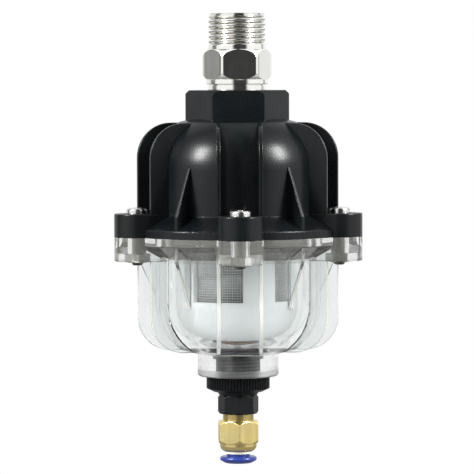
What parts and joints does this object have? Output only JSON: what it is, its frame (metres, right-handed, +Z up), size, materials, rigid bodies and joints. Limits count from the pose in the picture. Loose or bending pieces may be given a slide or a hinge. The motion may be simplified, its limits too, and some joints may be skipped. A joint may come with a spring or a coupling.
{
  "type": "compressed air condensate drain",
  "caption": "Float drain with strainer for a compressed air line: ribbed black head, clear ribbed bowl, threaded inlet on top, push-in tube outlet below.",
  "frame": {"origin": "centre of the inlet nipple's shoulder, where the inlet thread starts", "axes": "+Z up along the inlet thread, away from the casing; -Y towards the front bolt lug"},
  "size_m": [0.0886, 0.0852, 0.1621],
  "materials": {
    "nickel_plate": "bright nickel plating",
    "black_nylon": "satin moulded glass-filled nylon",
    "black_rubber": "matt",
    "amber_rubber": "matt",
    "clear_polycarbonate": "clear moulded polycarbonate",
    "zinc_steel": "zinc-plated",
    "white_plastic": "satin white",
    "stainless_gauze": "woven wire",
    "dark_plastic": "moulded",
    "float_foam": "closed-cell",
    "stainless": "drawn wire and sheet",
    "brass": "turned, bright",
    "blue_plastic": "moulded acetal"
  },
  "bodies": {
    "casing": {"inlet_nipple": "nickel_plate", "head_cover": "black_nylon", "head_lugs": "black_nylon", "head_ribs": "black_nylon", "seat_gasket": "amber_rubber", "casing_seal": "black_rubber", "bowl": "clear_polycarbonate", "casing_bolts": "zinc_steel", "casing_nuts": "zinc_steel", "strainer_frame": "white_plastic", "strainer_mesh": "stainless_gauze", "float_housing": "white_plastic", "guide_tube": "dark_plastic", "pilot_cap": "dark_plastic", "lever_pin": "stainless", "piston_spring": "stainless", "valve_seat": "black_nylon"},
    "float": {"float": "float_foam"},
    "lever": {"float_lever": "stainless", "pilot_plug": "black_rubber"},
    "piston": {"piston": "dark_plastic", "piston_seal": "black_rubber", "drain_valve": "black_rubber"},
    "knob_seal": {"knob_seal": "black_rubber"},
    "knob": {"drain_knob": "black_nylon", "fitting_body": "brass", "tube_seal": "black_rubber"},
    "collar": {"release_collar": "blue_plastic", "tube_collet": "stainless"}
  },
  "joints": [
    {"name": "float_rise", "type": "slide", "parent": "casing", "child": "float", "axis": [0, 0, 1], "range_m": [0, 0.006]},
    {"name": "lever_tilt", "type": "hinge", "parent": "casing", "child": "lever", "pos_m": [0.004, 0, -0.0728], "axis": [0, 1, 0], "range_deg": [0, 23.5]},
    {"name": "piston_stroke", "type": "slide", "parent": "casing", "child": "piston", "axis": [0, 0, -1], "range_m": [0, 0.0025], "stiffness_N_per_m": 800, "springref_m": -0.002, "deforming": ["piston_spring"]},
    {"name": "knob_travel", "type": "slide", "parent": "casing", "child": "knob_seal", "axis": [0, 0, -1], "range_m": [0, 0.00125]},
    {"name": "knob_turn", "type": "hinge", "parent": "knob_seal", "child": "knob", "pos_m": [0, 0, -0.1175], "axis": [0, 0, -1], "range_deg": [0, 360.5]},
    {"name": "collar_push", "type": "slide", "parent": "knob", "child": "collar", "axis": [0, 0, 1], "range_m": [0, 0.0009], "stiffness_N_per_m": 500, "springref_m": -0.002}
  ],
  "couplings": [
    {"joint": "lever_tilt", "follows": "float_rise", "rad_per_m": 66.667},
    {"joint": "knob_turn", "follows": "knob_travel", "rad_per_m": 5026.6}
  ]
}
